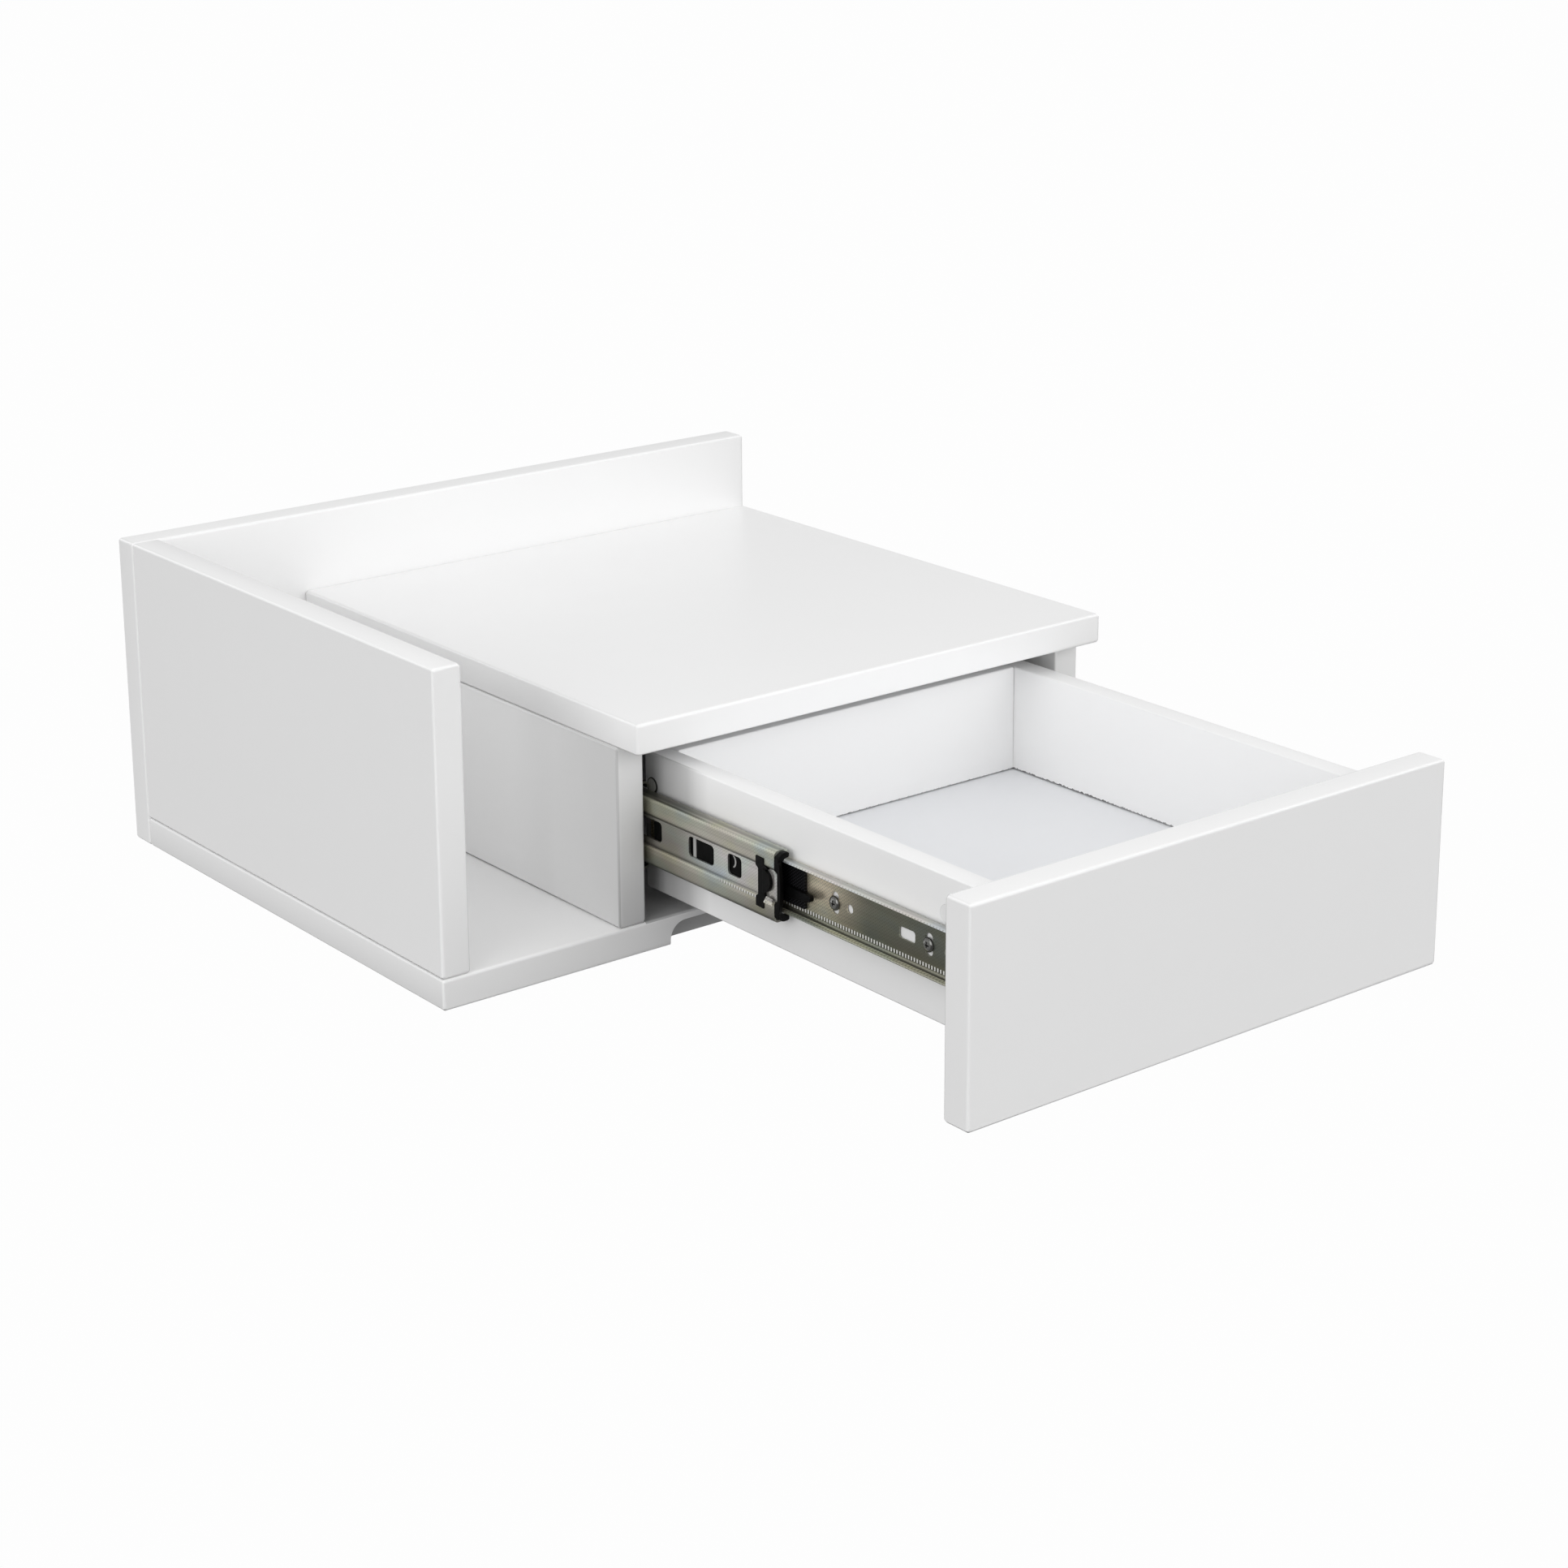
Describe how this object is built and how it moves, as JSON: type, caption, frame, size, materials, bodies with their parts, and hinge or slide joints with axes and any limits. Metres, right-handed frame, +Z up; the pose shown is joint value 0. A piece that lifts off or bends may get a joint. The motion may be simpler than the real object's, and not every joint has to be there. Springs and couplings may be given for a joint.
{
  "type": "floating nightstand",
  "caption": "White wall-hung nightstand with an open magazine niche beside a shelf, and a drawer under the shelf on ball-bearing slides.",
  "frame": {"origin": "middle of the back panel's rear face, which lies against the wall", "axes": "+X to the right seen from the room, +Y into the wall, +Z up; the drawer pulls out along -Y"},
  "size_m": [0.41, 0.569, 0.17],
  "materials": {
    "white_lacquer": "white satin lacquer on fibreboard",
    "drawer_lacquer": "white satin foil on fibreboard",
    "drawer_bottom_sheet": "white faced hardboard, slightly blue",
    "yellow_zinc": "zinc plated with a pale yellow passivation",
    "bright_zinc": "bright zinc plate",
    "dark_zinc": "darkened zinc plate",
    "black_plastic": "black moulded",
    "black_rubber": "matt",
    "white_plastic": "white moulded",
    "dowel_beech": "bare, fluted"
  },
  "bodies": {
    "carcass": {"back_panel": "white_lacquer", "hanger_plate_left": "bright_zinc", "hanger_screw_left_lower": "dark_zinc", "hanger_screw_left_upper": "dark_zinc", "hanger_plate_right": "bright_zinc", "hanger_screw_right_lower": "dark_zinc", "hanger_screw_right_upper": "dark_zinc", "back_screw_left_side_low": "dark_zinc", "back_screw_left_side_high": "dark_zinc", "back_screw_divider": "dark_zinc", "back_screw_right_side": "dark_zinc", "back_screw_bottom_left": "dark_zinc", "back_screw_bottom_right": "dark_zinc", "back_screw_shelf": "dark_zinc", "left_side_panel": "white_lacquer", "bottom_panel": "white_lacquer", "divider_panel": "white_lacquer", "right_side_panel": "white_lacquer", "top_shelf": "white_lacquer", "cabinet_rail_left": "yellow_zinc", "cabinet_rail_screw_left_front": "dark_zinc", "cabinet_rail_screw_left_rear": "dark_zinc", "rear_bumper_left": "black_rubber", "cabinet_rail_right": "yellow_zinc", "cabinet_rail_screw_right_front": "dark_zinc", "cabinet_rail_screw_right_rear": "dark_zinc", "rear_bumper_right": "black_rubber"},
    "drawer": {"drawer_front": "white_lacquer", "drawer_side_left": "drawer_lacquer", "drawer_side_right": "drawer_lacquer", "drawer_back": "drawer_lacquer", "drawer_bottom": "drawer_bottom_sheet", "drawer_back_screw_left": "dark_zinc", "front_cam_left": "white_plastic", "front_cam_bolt_left": "bright_zinc", "front_dowel_left": "dowel_beech", "drawer_rail_left": "yellow_zinc", "drawer_rail_screw_left_front": "bright_zinc", "drawer_rail_screw_left_rear": "bright_zinc", "latch_block_left": "black_plastic", "drawer_back_screw_right": "dark_zinc", "front_cam_right": "white_plastic", "front_cam_bolt_right": "bright_zinc", "front_dowel_right": "dowel_beech", "drawer_rail_right": "yellow_zinc", "drawer_rail_screw_right_front": "bright_zinc", "drawer_rail_screw_right_rear": "bright_zinc", "latch_block_right": "black_plastic"},
    "middle_slide_left": {"middle_rail_left": "yellow_zinc", "middle_rail_end_cap_left": "black_plastic", "middle_rail_stop_clip_left": "black_plastic"},
    "outer_cage_left": {"outer_ball_cage_left": "bright_zinc"},
    "inner_cage_left": {"inner_ball_cage_left": "bright_zinc"},
    "lever_left": {"release_lever_left": "black_plastic"},
    "middle_slide_right": {"middle_rail_right": "yellow_zinc", "middle_rail_end_cap_right": "black_plastic", "middle_rail_stop_clip_right": "black_plastic"},
    "outer_cage_right": {"outer_ball_cage_right": "bright_zinc"},
    "inner_cage_right": {"inner_ball_cage_right": "bright_zinc"},
    "lever_right": {"release_lever_right": "black_plastic"}
  },
  "joints": [
    {"name": "drawer_slide", "type": "slide", "parent": "carcass", "child": "drawer", "axis": [0, -1, 0], "range_m": [-0.24, 0]},
    {"name": "middle_rail_slide_left", "type": "slide", "parent": "carcass", "child": "middle_slide_left", "axis": [0, -1, 0], "range_m": [-0.12, 0]},
    {"name": "outer_cage_slide_left", "type": "slide", "parent": "carcass", "child": "outer_cage_left", "axis": [0, -1, 0], "range_m": [-0.06, 0]},
    {"name": "inner_cage_slide_left", "type": "slide", "parent": "carcass", "child": "inner_cage_left", "axis": [0, -1, 0], "range_m": [-0.18, 0]},
    {"name": "release_lever_hinge_left", "type": "hinge", "parent": "drawer", "child": "lever_left", "pos_m": [-0.0775, -0.409, -0.02373], "axis": [1, 0, 0], "range_deg": [-6, 6], "stiffness_Nm_per_rad": 0.02},
    {"name": "middle_rail_slide_right", "type": "slide", "parent": "carcass", "child": "middle_slide_right", "axis": [0, -1, 0], "range_m": [-0.12, 0]},
    {"name": "outer_cage_slide_right", "type": "slide", "parent": "carcass", "child": "outer_cage_right", "axis": [0, -1, 0], "range_m": [-0.06, 0]},
    {"name": "inner_cage_slide_right", "type": "slide", "parent": "carcass", "child": "inner_cage_right", "axis": [0, -1, 0], "range_m": [-0.18, 0]},
    {"name": "release_lever_hinge_right", "type": "hinge", "parent": "drawer", "child": "lever_right", "pos_m": [0.1805, -0.409, -0.02373], "axis": [1, 0, 0], "range_deg": [-6, 6], "stiffness_Nm_per_rad": 0.02}
  ],
  "couplings": [
    {"joint": "middle_rail_slide_left", "follows": "drawer_slide", "ratio": 0.5},
    {"joint": "outer_cage_slide_left", "follows": "drawer_slide", "ratio": 0.25},
    {"joint": "inner_cage_slide_left", "follows": "drawer_slide", "ratio": 0.75},
    {"joint": "middle_rail_slide_right", "follows": "drawer_slide", "ratio": 0.5},
    {"joint": "outer_cage_slide_right", "follows": "drawer_slide", "ratio": 0.25},
    {"joint": "inner_cage_slide_right", "follows": "drawer_slide", "ratio": 0.75}
  ]
}
